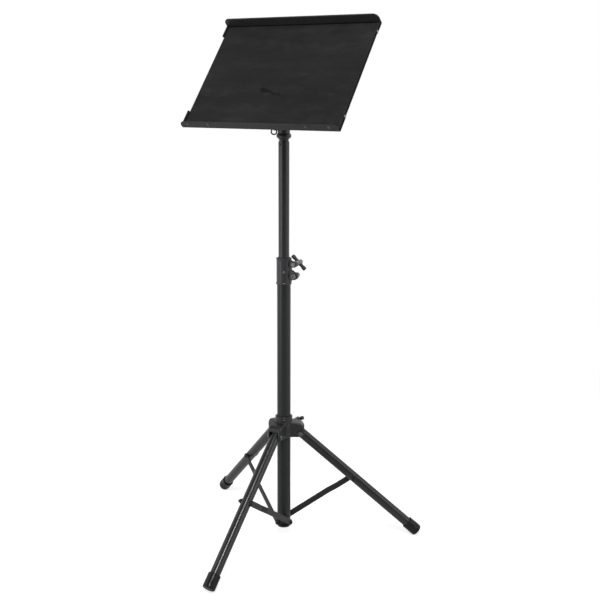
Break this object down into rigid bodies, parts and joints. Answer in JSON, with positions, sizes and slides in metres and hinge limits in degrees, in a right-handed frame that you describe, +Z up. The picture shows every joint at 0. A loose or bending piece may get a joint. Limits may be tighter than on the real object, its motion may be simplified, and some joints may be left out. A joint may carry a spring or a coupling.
{
  "type": "music stand",
  "caption": "Folding orchestra music stand: solid sheet metal desk that tilts, swivels and slides in height on a round telescoping mast with three folding braced legs.",
  "frame": {"origin": "on the floor, under the axis of the mast", "axes": "+Z up along the mast, -Y towards the reader and the front leg, +X to the reader's right"},
  "size_m": [0.5492, 0.4793, 1.1516],
  "materials": {
    "tube_paint": "satin black powder coat",
    "leg_paint": "gloss black paint",
    "desk_paint": "matt black powder coat",
    "casting_paint": "black paint on a die casting",
    "black_nylon": "moulded, matt",
    "rubber": "moulded, satin",
    "black_zinc": "black passivated steel",
    "zinc": "zinc plated"
  },
  "bodies": {
    "mast": {"lower_tube": "tube_paint", "base_plug": "black_nylon", "strut_base_bolts": "black_zinc", "clutch_sleeve": "tube_paint", "clutch_bush": "black_nylon", "clutch_pin": "zinc", "clamp_nut": "zinc", "sleeve_bolt": "black_zinc", "sleeve_nut": "zinc"},
    "clamp_handle": {"clamp_screw": "zinc", "clamp_bar": "black_zinc"},
    "spider": {"hub": "casting_paint", "hub_bush": "black_nylon", "leg_pivot_bolts": "zinc", "leg_pivot_nuts": "zinc"},
    "lock_handle": {"lock_screw": "zinc", "lock_bar": "black_zinc"},
    "front_leg_arm": {"front_leg": "leg_paint", "front_leg_plug": "black_nylon", "front_foot": "rubber", "front_leg_bolt": "black_zinc"},
    "front_strut_arm": {"front_strut": "black_zinc", "front_strut_head": "black_zinc"},
    "right_leg_arm": {"right_leg": "leg_paint", "right_leg_plug": "black_nylon", "right_foot": "rubber", "right_leg_bolt": "black_zinc"},
    "right_strut_arm": {"right_strut": "black_zinc", "right_strut_head": "black_zinc"},
    "left_leg_arm": {"left_leg": "leg_paint", "left_leg_plug": "black_nylon", "left_foot": "rubber", "left_leg_bolt": "black_zinc"},
    "left_strut_arm": {"left_strut": "black_zinc", "left_strut_head": "black_zinc"},
    "upper_mast": {"upper_tube": "tube_paint", "guide_bush": "black_nylon", "socket": "casting_paint", "socket_pin": "black_zinc"},
    "wing_handle": {"wing_screw": "black_zinc"},
    "swivel_rod": {"desk_rod": "zinc", "tilt_washers": "zinc"},
    "desk": {"tilt_bracket": "casting_paint", "tilt_bolt": "zinc", "bracket_nuts": "zinc", "desk_panel": "desk_paint", "top_rail": "desk_paint", "ledge": "desk_paint", "ledge_rivets": "black_zinc", "rail_screws": "zinc"},
    "tilt_handle": {"tilt_nut": "black_nylon"}
  },
  "joints": [
    {"name": "clamp_turn", "type": "hinge", "parent": "mast", "child": "clamp_handle", "pos_m": [0.02426, 0.00341, 0.6325], "axis": [-0.1392, 0.9903, 0], "range_deg": [0, 360]},
    {"name": "hub_slide", "type": "slide", "parent": "mast", "child": "spider", "axis": [0, 0, 1], "range_m": [0, 0.13637]},
    {"name": "lock_turn", "type": "hinge", "parent": "spider", "child": "lock_handle", "pos_m": [0, 0.0345, 0.26035], "axis": [0, 1, 0], "range_deg": [0, 360]},
    {"name": "front_leg_fold", "type": "hinge", "parent": "spider", "child": "front_leg_arm", "pos_m": [0, -0.037, 0.24985], "axis": [1, 0, 0], "range_deg": [0, 48.2]},
    {"name": "front_strut_fold", "type": "hinge", "parent": "mast", "child": "front_strut_arm", "pos_m": [0.017, 0, 0.0345], "axis": [-1, 0, 0], "range_deg": [0, 45.19]},
    {"name": "right_leg_fold", "type": "hinge", "parent": "spider", "child": "right_leg_arm", "pos_m": [0.03204, 0.0185, 0.24985], "axis": [-0.5, 0.866, 0], "range_deg": [0, 48.2]},
    {"name": "right_strut_fold", "type": "hinge", "parent": "mast", "child": "right_strut_arm", "pos_m": [-0.0085, 0.01472, 0.0345], "axis": [0.5, -0.866, 0], "range_deg": [0, 45.19]},
    {"name": "left_leg_fold", "type": "hinge", "parent": "spider", "child": "left_leg_arm", "pos_m": [-0.03204, 0.0185, 0.24985], "axis": [-0.5, -0.866, 0], "range_deg": [0, 48.2]},
    {"name": "left_strut_fold", "type": "hinge", "parent": "mast", "child": "left_strut_arm", "pos_m": [-0.0085, -0.01472, 0.0345], "axis": [0.5, 0.866, 0], "range_deg": [0, 45.19]},
    {"name": "height_slide", "type": "slide", "parent": "mast", "child": "upper_mast", "axis": [0, 0, 1], "range_m": [-0.21, 0.25]},
    {"name": "wing_turn", "type": "hinge", "parent": "upper_mast", "child": "wing_handle", "pos_m": [-0.01152, -0.00665, 0.921], "axis": [-0.866, -0.5, 0], "range_deg": [0, 360]},
    {"name": "desk_swivel", "type": "hinge", "parent": "upper_mast", "child": "swivel_rod", "pos_m": [0, 0, 0.946], "axis": [0, 0, 1], "continuous": true},
    {"name": "desk_tilt", "type": "hinge", "parent": "swivel_rod", "child": "desk", "pos_m": [0, 0, 0.993], "axis": [1, 0, 0], "range_deg": [-50, 38]},
    {"name": "tilt_nut_turn", "type": "hinge", "parent": "desk", "child": "tilt_handle", "pos_m": [-0.0084, 0, 0.993], "axis": [-1, 0, 0], "range_deg": [0, 360]}
  ],
  "couplings": [
    {"joint": "front_leg_fold", "follows": "hub_slide", "rad_per_m": 6.1688},
    {"joint": "front_strut_fold", "follows": "hub_slide", "rad_per_m": 5.7838},
    {"joint": "right_leg_fold", "follows": "hub_slide", "rad_per_m": 6.1688},
    {"joint": "right_strut_fold", "follows": "hub_slide", "rad_per_m": 5.7838},
    {"joint": "left_leg_fold", "follows": "hub_slide", "rad_per_m": 6.1688},
    {"joint": "left_strut_fold", "follows": "hub_slide", "rad_per_m": 5.7838}
  ]
}
